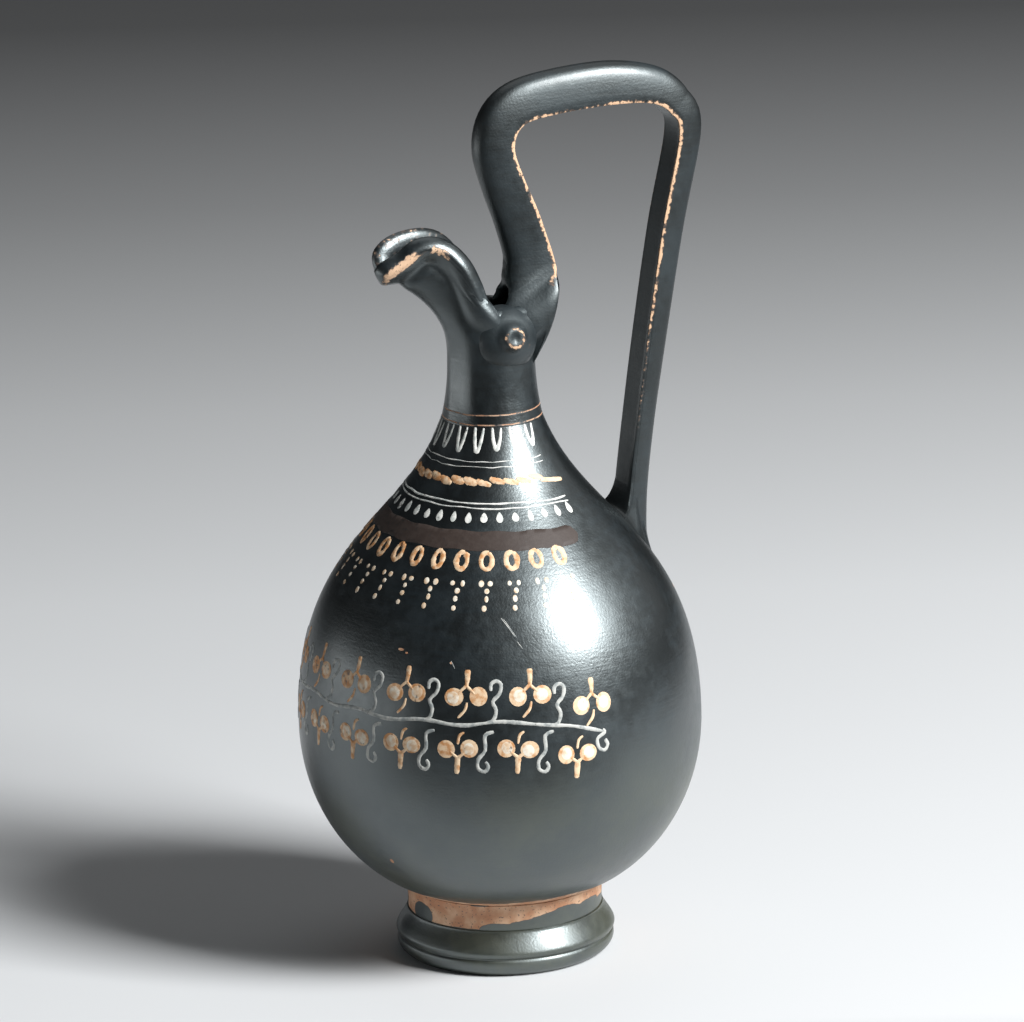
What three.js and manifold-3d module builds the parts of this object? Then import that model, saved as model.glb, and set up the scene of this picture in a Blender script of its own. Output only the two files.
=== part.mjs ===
// A beaked jug of fired clay: foot, belly, neck, cut-away mouth, high strap handle, two rotelles.
// Millimetres, +Z up, the spout points to -Y and the handle stands at +Y. The pieces are made round
// the belly's own axis, and the whole jug is set on its origin at the end.

import * as THREE from 'three';
import { mergeVertices } from 'three/addons/utils/BufferGeometryUtils.js';
import Module from 'manifold-3d';

const wasm = await Module();
wasm.setup();

// Bed of slip between two joined pieces.
const slipBed = 0.3;

// Foot: a ring in two degrees on a short stem, hollowed underneath.
const restRadius = 24;
const restWidth = 3.6;
const toeRadius = 26.3;
const toeHeight = 5.6;
const grooveDepth = 0.9;
const grooveHeight = 4.5;
const lowerRollHeight = 2.6;
const stepHeight = 11;
const stepDepth = 0.5;
const stemRadius = 23.7;
const stemWaist = 0.3;
const footHeight = 17.3;
const footThickness = 5;

// Body: belly and shoulder thrown as one hollow piece.
const bellyRadius = 48.3;
const bellyHeight = 58;
const underBellyFullness = 20;
const underBellySlope = 5.2;
const shoulderFullness = 43.8;
const shoulderSweep = 9.8;
const throatSweep = 27.4;
const bodyWall = 4;
const floorThickness = 4.4;
const floorRound = 2;

// Neck: a short thrown tube.
const collarRadius = 12;
const collarHeight = 132.4;
const collarWall = 3;
const neckRadius = 10.5;
const neckLength = 15.3;

// Mouth: the beak, cut away behind and pressed together in front. A rise is a height above the
// top of the neck, and a reach is a distance from the neck's axis.
const lipThickness = 3;
const lipTipReach = 28.2;
const lipTipRise = 23.2;
const crestReach = 16.5;
const crestHalfWidth = 7.8;
const crestRise = 30;
const cutReach = 6.5;
const cutHalfWidth = 8.4;
const cutRise = 20;
const heelRise = 10.8;

// Handle: a strap with a flat inner face and a rounded back.
const strapWidth = 8.6;
const strapDepth = 7.2;
const riseDepth = 10;
const rootWidth = 15;
const rootDrop = 4.5;
const loopFrontGap = 4.9;
const loopFrontRise = 18;
const loopNipReach = 5.9;
const loopNipRise = 48.5;
const archRise = 56.6;
const archCorner = 6.6;
const loopBackReach = 49.4;
const loopBackRise = 48.5;
const strutSeatHeight = 103;
const strutFootRise = 22;
const strutFootLean = 4;

// Wad of clay round the lower root of the handle.
const wadLength = 19;
const wadWidth = 14.5;
const wadHeight = 4.6;

// Rotelles: a low boss with a knob on each side of the upper root.
const bossRadius = 6.4;
const bossThickness = 3.6;
const bossRise = 3.6;
const knobRadius = 2.9;
const knobThickness = 1.5;
const knobBack = 1.6;
const knobUp = 2.4;

// Facets round the thrown pieces, and steps along and across the curved ones.
const facets = 40;
const underBellySteps = 8;
const shoulderSteps = 13;
const mouthSteps = 8;
const strapSteps = 56;
const strapSides = 10;
const ballSteps = 16;

const gloss = { color: 0x1c2120, roughness: 0.22, metalness: 0.1 };

function makeSolid(geometry) {
  const bare = new THREE.BufferGeometry();
  bare.setAttribute('position', geometry.getAttribute('position'));
  if (geometry.index) bare.setIndex(geometry.index);
  const merged = mergeVertices(bare, 1e-4);
  const corners = [];
  for (let i = 0; i < merged.index.count; i += 3) {
    const [a, b, c] = [0, 1, 2].map((k) => merged.index.getX(i + k));
    if (a !== b && b !== c && c !== a) corners.push(a, b, c);
  }
  return new wasm.Manifold(new wasm.Mesh({
    numProp: 3,
    vertProperties: new Float32Array(merged.getAttribute('position').array),
    triVerts: new Uint32Array(corners),
  }));
}

function makePiece(name, solid) {
  const { numProp, vertProperties, triVerts } = solid.getMesh();
  const geometry = new THREE.BufferGeometry();
  const position = new Float32Array((vertProperties.length / numProp) * 3);
  for (let i = 0; i < position.length / 3; i += 1) {
    for (let k = 0; k < 3; k += 1) position[3 * i + k] = vertProperties[numProp * i + k];
  }
  geometry.setAttribute('position', new THREE.BufferAttribute(position, 3));
  geometry.setIndex([...triVerts]);
  geometry.computeVertexNormals();
  const piece = new THREE.Mesh(geometry, new THREE.MeshStandardMaterial(gloss));
  piece.name = name;
  return piece;
}

// Turns a profile of (radius, height) points about the upright axis.
function turn(profile) {
  return makeSolid(new THREE.LatheGeometry(profile, facets).rotateX(Math.PI / 2));
}

// Skins rings of points laid one after another, with flat ends or closed on itself.
function skin(rings, closed) {
  const count = rings[0].length;
  const faces = [];
  const spans = closed ? rings.length : rings.length - 1;
  for (let i = 0; i < spans; i += 1) {
    const near = i * count;
    const far = ((i + 1) % rings.length) * count;
    for (let j = 0; j < count; j += 1) {
      const k = (j + 1) % count;
      faces.push(near + j, near + k, far + k, near + j, far + k, far + j);
    }
  }
  if (!closed) {
    const end = (rings.length - 1) * count;
    for (let j = 1; j < count - 1; j += 1) {
      faces.push(0, j + 1, j, end, end + j, end + j + 1);
    }
  }
  const geometry = new THREE.BufferGeometry().setFromPoints(rings.flat());
  geometry.setIndex(faces);
  return makeSolid(geometry);
}

const at = (radius, height) => new THREE.Vector2(radius, height);

// Moves an open outline sideways, to its right for a positive distance.
function shift(outline, distance) {
  return outline.map((point, i) => {
    const before = outline[Math.max(i - 1, 0)];
    const after = outline[Math.min(i + 1, outline.length - 1)];
    const along = after.clone().sub(before).normalize();
    return at(point.x + along.y * distance, point.y - along.x * distance);
  });
}

function makeFoot() {
  const rollRadius = toeRadius - 0.3 * grooveDepth;
  const outside = [
    at(restRadius, 0),
    at(restRadius + 0.7 * (rollRadius - restRadius), 0.4 * lowerRollHeight),
    at(rollRadius, lowerRollHeight),
    at(rollRadius, grooveHeight - 0.4 * grooveDepth),
    at(toeRadius - grooveDepth, grooveHeight),
    at(toeRadius, toeHeight),
    at(toeRadius - 0.1 * (toeRadius - stemRadius), toeHeight + 0.25 * (stepHeight - toeHeight)),
    at(stemRadius + 0.45 * (toeRadius - stemRadius), toeHeight + 0.6 * (stepHeight - toeHeight)),
    at(stemRadius, stepHeight - stepDepth),
    at(stemRadius - stepDepth, stepHeight),
    at(stemRadius, stepHeight + stepDepth),
    at(stemRadius - stemWaist, 0.5 * (stepHeight + footHeight)),
    at(stemRadius, footHeight),
  ];
  const hollowTop = footHeight - footThickness;
  const underneath = [
    at(0, hollowTop),
    at(0.35 * restRadius, 0.92 * hollowTop),
    at(restRadius - 1.8 * restWidth, 0.4 * hollowTop),
    at(restRadius - restWidth, 0),
  ];
  return turn([...underneath, ...outside, at(0, footHeight)]);
}

const bodyBottom = footHeight + slipBed;
const bodyRoot = stemRadius + slipBed;

// The belly and shoulder line, from the stem up to the collar.
function bodyOutline() {
  const under = new THREE.CubicBezierCurve(
    at(bodyRoot, bodyBottom),
    at(bodyRoot + 2.5 * underBellySlope, bodyBottom + underBellySlope),
    at(bellyRadius, bellyHeight - underBellyFullness),
    at(bellyRadius, bellyHeight),
  );
  const shoulder = new THREE.CubicBezierCurve(
    at(bellyRadius, bellyHeight),
    at(bellyRadius, bellyHeight + shoulderFullness),
    at(collarRadius + shoulderSweep, collarHeight - throatSweep),
    at(collarRadius, collarHeight),
  );
  return [...under.getPoints(underBellySteps), ...shoulder.getPoints(shoulderSteps).slice(1)];
}

function makeBody() {
  const outside = bodyOutline();
  const floor = bodyBottom + floorThickness;
  const bore = collarRadius - collarWall;
  const inside = shift(outside, -bodyWall)
    .filter((p) => p.y > floor + 0.5 * floorRound && p.x > bore);
  return turn([
    at(0, bodyBottom),
    ...outside,
    at(bore, collarHeight),
    ...inside.slice().reverse(),
    at(inside[0].x - floorRound, floor),
    at(0, floor),
  ]);
}

// The whole of the body without its hollow, a little larger all round.
function bodyBlock(clearance) {
  const outside = shift(bodyOutline(), clearance);
  return turn([at(0, outside[0].y), ...outside, at(0, outside.at(-1).y)]);
}

// How far the shoulder's outer face is from the axis at a height on it.
function shoulderRadius(height) {
  const line = bodyOutline();
  const i = line.findIndex((p) => p.y > Math.max(height, bellyHeight));
  const share = (height - line[i - 1].y) / (line[i].y - line[i - 1].y);
  return line[i - 1].x + share * (line[i].x - line[i - 1].x);
}

const neckBottom = collarHeight + slipBed;
const neckTop = neckBottom + neckLength;

function makeNeck() {
  const outside = new THREE.CubicBezierCurve(
    at(collarRadius, neckBottom),
    at(0.27 * collarRadius + 0.73 * neckRadius, neckBottom + 0.3 * neckLength),
    at(neckRadius, neckBottom + 0.6 * neckLength),
    at(neckRadius, neckTop),
  ).getPoints(4);
  const inside = outside.map((p) => at(p.x - collarWall, p.y)).reverse();
  return turn([...outside, ...inside, outside[0]]);
}

const mouthBottom = neckTop + slipBed;

// The lip, from the tip of the spout round one side to the heel under the handle.
function lipLine() {
  const half = [
    [0, -lipTipReach, lipTipRise],
    [0.72 * crestHalfWidth, -0.9 * lipTipReach, 0.3 * lipTipRise + 0.7 * crestRise],
    [crestHalfWidth, -crestReach, crestRise],
    [0.5 * (crestHalfWidth + cutHalfWidth), -cutReach, cutRise],
    [cutHalfWidth, -0.1 * neckRadius, 0.95 * heelRise + 0.05 * cutRise],
    [0.6 * neckRadius, 0.8 * neckRadius, heelRise],
    [0, neckRadius, heelRise],
  ].map(([x, y, rise]) => new THREE.Vector3(x, y, neckTop + rise));
  const other = half.slice(1, -1).reverse().map((p) => new THREE.Vector3(-p.x, p.y, p.z));
  return new THREE.CatmullRomCurve3([...half, ...other], true);
}

// Rings of the wall's outer face, from the seam on the neck to the lip.
function mouthRings() {
  const lip = lipLine();
  const rings = [];
  for (let i = 0; i <= mouthSteps; i += 1) {
    const ring = [];
    for (let j = 0; j < facets; j += 1) {
      const angle = (2 * Math.PI * j) / facets;
      const forward = Math.max(0, Math.cos(angle)) ** 2;
      const start = new THREE.Vector3(
        neckRadius * Math.sin(angle),
        -neckRadius * Math.cos(angle),
        mouthBottom,
      );
      const end = lip.getPoint(j / facets);
      const height = end.z - start.z;
      const upright = new THREE.Vector3(0.1 * Math.sin(angle), 0, 1);
      const lean = new THREE.Vector3(0, -1, 0.3).lerp(upright, 1 - forward).normalize();
      const wall = new THREE.CubicBezierCurve3(
        start,
        start.clone().add(new THREE.Vector3(0, 0, 0.5 * height)),
        end.clone().addScaledVector(lean, -0.35 * height),
        end,
      );
      ring.push(wall.getPoint(i / mouthSteps));
    }
    rings.push(ring);
  }
  return rings;
}

// The same rings pushed along the wall's normal, outwards for a positive distance.
function pushRings(rings, distance) {
  return rings.map((ring, i) => ring.map((point, j) => {
    const below = rings[Math.max(i - 1, 0)][j];
    const above = rings[Math.min(i + 1, rings.length - 1)][j];
    const along = ring[(j + 1) % ring.length].clone().sub(ring.at(j - 1));
    const normal = along.cross(above.clone().sub(below)).normalize();
    if (i === 0) normal.setZ(0).normalize();
    return point.clone().addScaledVector(normal, distance);
  }));
}

function mouthWall(clearance) {
  const face = mouthRings();
  const outside = pushRings(face, clearance);
  const inside = pushRings(face, -lipThickness - clearance).reverse();
  const top = face.at(-1);
  const under = face.at(-2);
  const roll = top.map((point, j) => {
    const rise = point.clone().sub(under[j]).setLength(0.4 * lipThickness + clearance);
    return outside.at(-1)[j].clone().lerp(inside[0][j], 0.5).add(rise);
  });
  return skin([...outside, roll, ...inside], true);
}

// Everything under the heel of the mouth, with its bore filled.
function mouthBlock() {
  const heelTop = neckTop + heelRise + slipBed;
  const stub = new THREE.CylinderGeometry(
    neckRadius - 0.5 * lipThickness,
    neckRadius - 0.5 * lipThickness,
    heelTop - neckBottom,
    facets,
  ).rotateX(Math.PI / 2).translate(0, 0, 0.5 * (heelTop + neckBottom));
  return mouthWall(slipBed).add(makeSolid(stub));
}

// The straight top of the neck with its bore filled, a little larger all round.
function neckBlock() {
  const radius = neckRadius + slipBed;
  const height = neckLength + 2 * slipBed;
  const outside = new THREE.CylinderGeometry(radius, radius, height, facets)
    .rotateX(Math.PI / 2)
    .translate(0, 0, neckBottom + 0.5 * height);
  return makeSolid(outside);
}

// The inner edge of the strap, along which the loop of the handle is open: reach, height,
// width and depth of the section there.
const loopFrontReach = neckRadius + loopFrontGap;
const loopFrontHeight = neckTop + loopFrontRise;
const loopNipHeight = neckTop + loopNipRise;
const loopBackHeight = neckTop + loopBackRise;
const archHeight = neckTop + archRise;
const strutSeatReach = shoulderRadius(strutSeatHeight);
const strutFootReach = strutSeatReach + strutFootLean;
const strutFootHeight = strutSeatHeight + strutFootRise;
const strapStations = [
  [neckRadius, neckTop - rootDrop, 0.75 * rootWidth, 0.4 * riseDepth],
  [neckRadius + 0.35 * loopFrontGap, neckTop + 0.1 * loopFrontRise, 0.95 * rootWidth,
    0.7 * riseDepth],
  [neckRadius + 0.75 * loopFrontGap, neckTop + 0.43 * loopFrontRise, rootWidth, riseDepth],
  [loopFrontReach, loopFrontHeight, 1.07 * strapWidth, riseDepth],
  [0.62 * loopFrontReach + 0.38 * loopNipReach, 0.5 * (loopFrontHeight + loopNipHeight),
    strapWidth, riseDepth],
  [loopNipReach, loopNipHeight, strapWidth, 0.9 * riseDepth],
  [loopNipReach + 0.36 * archCorner, archHeight - 0.33 * archCorner, strapWidth,
    0.95 * riseDepth],
  [loopNipReach + 1.5 * archCorner, archHeight - 0.1 * archCorner, strapWidth, riseDepth],
  [0.42 * loopNipReach + 0.58 * loopBackReach, archHeight, strapWidth, riseDepth],
  [loopBackReach - archCorner, archHeight - 0.1 * archCorner, strapWidth, 0.9 * riseDepth],
  [loopBackReach - 0.18 * archCorner, archHeight - 0.48 * archCorner, strapWidth,
    0.5 * (riseDepth + strapDepth)],
  [loopBackReach, loopBackHeight, strapWidth, strapDepth],
  [0.6 * loopBackReach + 0.4 * strutFootReach, 0.68 * loopBackHeight + 0.32 * strutFootHeight,
    strapWidth, strapDepth],
  [strutFootReach, strutFootHeight, strapWidth, 0.87 * strapDepth],
  [strutSeatReach + 0.15 * strutFootLean, strutSeatHeight + 0.2 * strutFootRise, strapWidth,
    0.9 * strapDepth],
  [strutSeatReach - 0.5 * strutFootLean, strutSeatHeight - 0.35 * strutFootRise, strapWidth,
    strapDepth],
];

// The strap from inside its upper root to inside its lower root, a little larger all round
// where a neighbour is cut by it.
function strap(clearance) {
  const edge = new THREE.SplineCurve(strapStations.map(([reach, height]) => at(reach, height)));
  const gauge = new THREE.SplineCurve(strapStations.map(([, , width, depth]) => at(width, depth)));
  const roundness = 0.72;
  const rings = [];
  for (let i = 0; i <= strapSteps; i += 1) {
    const point = edge.getPoint(i / strapSteps);
    const along = edge.getTangent(i / strapSteps);
    const size = gauge.getPoint(i / strapSteps);
    const ring = [];
    for (let j = 0; j <= strapSides; j += 1) {
      const angle = Math.PI * (1 - j / strapSides);
      const across = Math.sign(Math.cos(angle)) * Math.abs(Math.cos(angle)) ** roundness;
      const out = Math.sin(angle) ** roundness * (size.y + 2 * clearance) - clearance;
      ring.push(new THREE.Vector3(
        across * (0.5 * size.x + clearance),
        point.x - along.y * out,
        point.y + along.x * out,
      ));
    }
    rings.push(ring);
  }
  return skin(rings, false);
}

function makeHandle() {
  return strap(0).subtract(mouthBlock()).subtract(neckBlock()).subtract(bodyBlock(slipBed));
}

// The wad sits on the shoulder where the middle of the strap meets it.
function makeWad() {
  const height = strutSeatHeight - 0.3 * strapDepth;
  const seat = at(shoulderRadius(height), height);
  const above = at(shoulderRadius(strutSeatHeight), strutSeatHeight);
  const tilt = Math.atan2(above.y - seat.y, seat.x - above.x);
  const lump = new THREE.SphereGeometry(1, ballSteps, ballSteps / 2)
    .rotateX(Math.PI / 2)
    .scale(0.5 * wadWidth, 0.5 * wadLength, wadHeight)
    .rotateX(-tilt)
    .translate(0, seat.x, seat.y);
  return makeSolid(lump).subtract(bodyBlock(slipBed)).subtract(strap(slipBed));
}

function makeRotelle(side) {
  const ball = (radius, rise) => new THREE.SphereGeometry(1, ballSteps, ballSteps / 2)
    .scale(rise, radius, radius);
  const centre = neckRadius - 0.4 * bossThickness;
  const height = neckTop + bossRise;
  const boss = ball(bossRadius, 1.4 * bossThickness).translate(side * centre, 0, height);
  const knob = ball(knobRadius, knobRadius).translate(
    side * (neckRadius + bossThickness + knobThickness - knobRadius),
    knobBack,
    height + knobUp,
  );
  return makeSolid(boss).add(makeSolid(knob))
    .subtract(mouthBlock()).subtract(neckBlock()).subtract(strap(slipBed));
}

const jug = new THREE.Group();
jug.add(makePiece('foot', makeFoot()));
jug.add(makePiece('body', makeBody()));
jug.add(makePiece('neck', makeNeck()));
jug.add(makePiece('mouth', mouthWall(0)));
jug.add(makePiece('handle', makeHandle()));
jug.add(makePiece('handle_wad', makeWad()));
jug.add(makePiece('rotelle_right', makeRotelle(1)));
jug.add(makePiece('rotelle_left', makeRotelle(-1)));

// The origin lies on the ground, midway between the front of the belly and the back of the handle.
const reach = new THREE.Box3().setFromObject(jug);
jug.position.y = -0.5 * (reach.min.y + reach.max.y);

export default jug;
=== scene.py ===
# A beaked jug of fired clay under black gloss. Its pieces are thrown, drawn and pulled, luted one on
# another, painted and set on a table. Lengths are in millimetres until MM makes them metres, heights
# count from the table, and a turn is in degrees round the belly's axis from the spout.
import math
import random

import bpy
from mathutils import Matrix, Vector
from mathutils.geometry import interpolate_bezier


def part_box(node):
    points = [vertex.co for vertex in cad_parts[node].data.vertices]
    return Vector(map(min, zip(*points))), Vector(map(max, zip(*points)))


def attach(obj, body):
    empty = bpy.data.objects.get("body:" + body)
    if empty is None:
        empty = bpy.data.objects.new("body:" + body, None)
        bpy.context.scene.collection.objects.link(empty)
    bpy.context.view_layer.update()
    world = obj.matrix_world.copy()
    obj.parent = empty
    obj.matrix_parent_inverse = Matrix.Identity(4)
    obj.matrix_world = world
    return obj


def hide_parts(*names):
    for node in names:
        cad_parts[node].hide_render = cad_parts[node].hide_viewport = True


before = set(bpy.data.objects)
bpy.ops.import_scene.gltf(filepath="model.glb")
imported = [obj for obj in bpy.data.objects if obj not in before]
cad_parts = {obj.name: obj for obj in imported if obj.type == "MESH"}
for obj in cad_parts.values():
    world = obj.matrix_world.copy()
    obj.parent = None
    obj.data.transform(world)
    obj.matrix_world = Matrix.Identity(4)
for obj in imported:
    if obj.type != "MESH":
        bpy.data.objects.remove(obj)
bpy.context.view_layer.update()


# Foot: a ring in two degrees on a short stem, turned from one piece of clay and hollowed underneath.
# The ring is under black gloss, and the stem is bare clay on which some of the gloss has run.
# It is luted to the belly with slip.
MM = 0.001
foot_low, foot_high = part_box("foot")
axis = 0.5 * (foot_low.y + foot_high.y)
toe_radius = foot_high.x / MM
foot_top = foot_high.z / MM
rest_radius = 24
rest_width = 3.6
step_height = 11
stem_radius = 23.7
foot_thickness = 5
hollow_height = foot_top - foot_thickness


def at(radius, height):
    return Vector((radius, 0, height))


def smooth(points, steps):
    """A smooth line through points, with so many steps between each two."""
    points = [Vector(p) for p in points]
    line = [points[0]]
    for i in range(len(points) - 1):
        before, start = points[max(i - 1, 0)], points[i]
        end, after = points[i + 1], points[min(i + 2, len(points) - 1)]
        bows = start + (end - before) / 6, end - (after - start) / 6
        line += interpolate_bezier(start, *bows, end, steps + 1)[1:]
    return line


def throw(name, profile, turns=192):
    """A point is drawn along a profile of radius and height and spun about the upright axis."""
    bpy.ops.object.select_all(action="DESELECT")
    bpy.ops.mesh.primitive_plane_add(size=MM)
    piece = bpy.context.object
    piece.name = name
    bpy.ops.object.mode_set(mode="EDIT")
    bpy.ops.mesh.select_all(action="SELECT")
    bpy.ops.mesh.merge(type="CENTER")
    bpy.ops.transform.translate(value=profile[0] * MM)
    for here, there in zip(profile, profile[1:]):
        bpy.ops.mesh.extrude_region_move(TRANSFORM_OT_translate={"value": (there - here) * MM})
    bpy.ops.mesh.select_all(action="SELECT")
    bpy.ops.mesh.spin(steps=turns, angle=math.tau, center=(0, 0, 0), axis=(0, 0, 1))
    bpy.ops.mesh.select_all(action="SELECT")
    bpy.ops.mesh.remove_doubles(threshold=0.005 * MM)
    bpy.ops.mesh.normals_make_consistent(inside=False)
    bpy.ops.object.mode_set(mode="OBJECT")
    return piece


def settle(piece, material):
    """Shades a piece, sets it on the belly's axis and gives it its material."""
    bpy.ops.object.select_all(action="DESELECT")
    piece.select_set(True)
    bpy.context.view_layer.objects.active = piece
    bpy.ops.object.shade_smooth_by_angle(angle=math.radians(42))
    bpy.ops.transform.translate(value=(0, axis, 0))
    bpy.ops.object.transform_apply(location=True, rotation=True, scale=True)
    piece.data.materials.clear()
    piece.data.materials.append(material)


class Wire:
    """An output of a material's node. A sum written on wires adds Math nodes."""

    def __init__(self, socket):
        self.socket = socket

    def feed(self, kind, settings, inputs, output=0):
        """Adds a node of that kind and returns the wire from one of its outputs."""
        tree = self.socket.node.id_data
        node = tree.nodes.new("ShaderNode" + kind)
        for name, value in settings.items():
            setattr(node, name, value)
        for name, value in inputs.items():
            if isinstance(value, Wire):
                tree.links.new(value.socket, node.inputs[name])
            else:
                node.inputs[name].default_value = value
        return Wire(node.outputs[output])

    def math(self, operation, first, second):
        return self.feed("Math", {"operation": operation}, {0: first, 1: second})

    def __add__(self, other):
        return self.math("ADD", self, other)

    __radd__ = __add__

    def __sub__(self, other):
        return self.math("SUBTRACT", self, other)

    def __rsub__(self, other):
        return self.math("SUBTRACT", other, self)

    def __mul__(self, other):
        return self.math("MULTIPLY", self, other)

    __rmul__ = __mul__


def fade(value, low, high):
    """0 below low, 1 above high and smooth between them; low may be the larger."""
    return value.feed("MapRange", {"interpolation_type": "SMOOTHSTEP"},
                      {"Value": value, "From Min": low, "From Max": high})


def grain(place, size, detail=2, stretch=(1, 1, 1)):
    """Noise whose lumps measure size, in millimetres, and are drawn out where stretch is below 1."""
    drawn = place.feed("Mapping", {}, {"Vector": place, "Scale": stretch})
    return place.feed("TexNoise", {}, {"Vector": drawn, "Scale": 1 / (size * MM), "Detail": detail})


def blend(mask, below, above):
    """One colour where the mask is 0 and the other where it is 1."""
    return mask.feed("Mix", {"data_type": "RGBA"}, {0: mask, 6: below, 7: above}, 2)


def paint_tree(name):
    """A new material, its shader, and a wire with places measured from the belly's axis."""
    material = bpy.data.materials.new(name)
    material.use_nodes = True
    tree = material.node_tree
    corner = Wire(tree.nodes.new("ShaderNodeTexCoord").outputs["Object"])
    place = corner.feed("Mapping", {}, {"Vector": corner, "Location": (0, -axis, 0)})
    return material, tree.nodes["Principled BSDF"], place


def plug(shader, **inputs):
    """Sets or links the shader's sockets, named with _ for a space."""
    for name, value in inputs.items():
        socket = shader.inputs[name.replace("_", " ")]
        if isinstance(value, Wire):
            shader.id_data.links.new(value.socket, socket)
        else:
            socket.default_value = value


def turn_and_height(place):
    """Degrees from the spout and millimetres above the table."""
    x, y, z = (place.feed("SeparateXYZ", {}, {0: place}, i) for i in range(3))
    return place.math("ARCTAN2", x, 0 - y) * math.degrees(1), z * (1 / MM)


gloss_black = (0.003, 0.0038, 0.0042, 1)
gloss_blue = (0.004, 0.008, 0.011, 1)
olive_thin_and_reflected = (0.034, 0.036, 0.02, 1)
gloss_brown = (0.05, 0.022, 0.01, 1)
clay_orange = (0.5, 0.21, 0.085, 1)
clay_pale = (0.72, 0.46, 0.28, 1)
clay_dark = (0.12, 0.055, 0.03, 1)


def fired_clay(name, bare_where, dull=0.0, ior=2.2):
    """Clay under black gloss. bare_where(place) is 1 where the gloss is missing and 0 where it lies;
    between them the gloss is rubbed thin and brown. Low on the belly and towards the right it is
    mixed with a lighter olive, partly the gloss's own thinner tone and partly painted reflection."""
    material, shader, place = paint_tree(name)
    bare, clay_light = bare_where(place)
    turn, height = turn_and_height(place)
    low = fade(height, 66, 38)
    cloud = grain(place, 18, 4)
    speckle = grain(place, 0.55, 3)
    wheel = grain(place, 12, 4, (1, 1, 20))
    mottle = grain(place, 2.2, 4)
    gloss = blend(fade(cloud + 0.4 * wheel + 0.3 * mottle, 0.7, 1.05), gloss_black, gloss_blue)
    # Lighter olive low on the belly and towards the right: partly thinner gloss, partly painted
    # reflection of the pale table.
    thin = low * fade(grain(place, 26, 3) + 0.3 * mottle + 0.0016 * turn, 0.55, 0.95)
    gloss = blend(thin, gloss, olive_thin_and_reflected)
    gloss = blend(fade(bare, 0.03, 0.4), gloss, gloss_brown)
    clay = blend(fade(grain(place, 4, 5) + clay_light, 0.35, 0.75), clay_orange, clay_pale)
    clay = blend(fade(grain(place, 0.6, 4), 0.6, 0.7), clay, clay_dark)
    naked = fade(bare, 0.4, 0.9)
    sheen = 0.33 + dull + 0.05 * low + 0.12 * fade(cloud + 0.5 * mottle, 0.55, 1)
    sheen = sheen + 0.25 * fade(bare, 0, 0.4)
    relief = 0.3 * speckle + 0.2 * wheel + 0.16 * mottle + naked * (0.6 * grain(place, 0.6, 4) - 0.6)
    bump = place.feed("Bump", {}, {"Strength": 0.5, "Distance": 0.25 * MM, "Height": relief})
    plug(shader, Base_Color=blend(naked, gloss, clay), Roughness=sheen + naked * (0.8 - sheen),
         Coat_Weight=0.25 - 0.25 * naked, Normal=bump, IOR=ior, Coat_IOR=1.5, Coat_Roughness=0.2,
         Specular_Tint=(0.84, 0.95, 0.97, 1))
    return material


stem_runs = [
    # turn, height, half width in degrees, half height, of the gloss that ran down on the stem
    (-24, 14.5, 7, 4.5), (7, 12.4, 10, 2.8), (62, 11.4, 12, 1.6), (78, 11.6, 14, 1.9),
    (92, 12.2, 15, 2.6), (106, 12.5, 17, 2.9), (122, 12.4, 17, 2.7), (140, 11.8, 16, 2.1),
    (30, 18.4, 6, 0.6), (50, 18, 8, 0.9), (190, 11.4, 18, 2.4), (250, 12, 9, 3.2),
]


def spots(turn, height, marks, wobble, inside, outside):
    """The product, over all marks, of a mask that is 0 inside an oval mark and 1 outside it."""
    mask = 1
    for mark_turn, mark_height, half_turn, half_height in marks:
        mark_turn = (mark_turn + 180) % 360 - 180
        across = (turn - mark_turn) * (1 / half_turn)
        up = (height - mark_height) * (1 / half_height)
        mask = mask * fade(across * across + up * up + wobble, inside, outside)
    return mask


def bare_stem(place):
    """The stem is bare between the belly and the step, but for the runs of gloss."""
    turn, height = turn_and_height(place)
    wobble = grain(place, 4, 4) - 0.5
    stem = fade(height + 0.5 * wobble, step_height + 0.1, step_height + 0.35)
    return stem * spots(turn, height, stem_runs, 1.1 * wobble, 0.85, 1.1), 0


foot_profile = [
    *smooth([at(0, hollow_height), at(0.35 * rest_radius, 0.92 * hollow_height),
             at(rest_radius - 1.8 * rest_width, 0.4 * hollow_height),
             at(rest_radius - rest_width, 0.3)], 8),
    at(rest_radius - rest_width + 0.3, 0),
    at(rest_radius - 0.3, 0),
    *smooth([at(rest_radius + 0.3, 0.25), at(25.5, 1.3), at(toe_radius - 0.25, 2.6),
             at(toe_radius - 0.3, 3.7), at(toe_radius - 0.65, 4.3)], 6),
    *smooth([at(toe_radius - 0.62, 4.5), at(toe_radius - 0.15, 5.1), at(toe_radius, 6),
             at(toe_radius - 0.7, 7.4), at(stem_radius + 0.85, 9), at(stem_radius + 0.1, 10.3),
             at(stem_radius - 0.1, step_height - 0.1)], 6),
    *smooth([at(stem_radius - 0.45, step_height), at(stem_radius - 0.35, step_height + 0.5),
             at(stem_radius - 0.3, 14.2), at(stem_radius, foot_top)], 8),
    at(0, foot_top),
]
foot = throw("turned_foot", foot_profile)
settle(foot, fired_clay("run_gloss", bare_stem))
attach(foot, "root")
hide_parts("foot")


# Body: belly and shoulder, thrown in one as a hollow egg that draws in to the collar of the neck.
# It was dipped in the gloss and stacked, so its lowest edge is bare, and a fine line was scraped
# through the gloss where the neck is luted on.
belly_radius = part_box("body")[1].x / MM
body_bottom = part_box("body")[0].z / MM
collar_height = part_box("body")[1].z / MM
belly_height = 58
collar_radius = 12
body_wall = 4
floor_thickness = 4.4
body_opening = collar_radius - 3
reserved_lines = [collar_height + 0.5, collar_height + 2.8]

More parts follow.
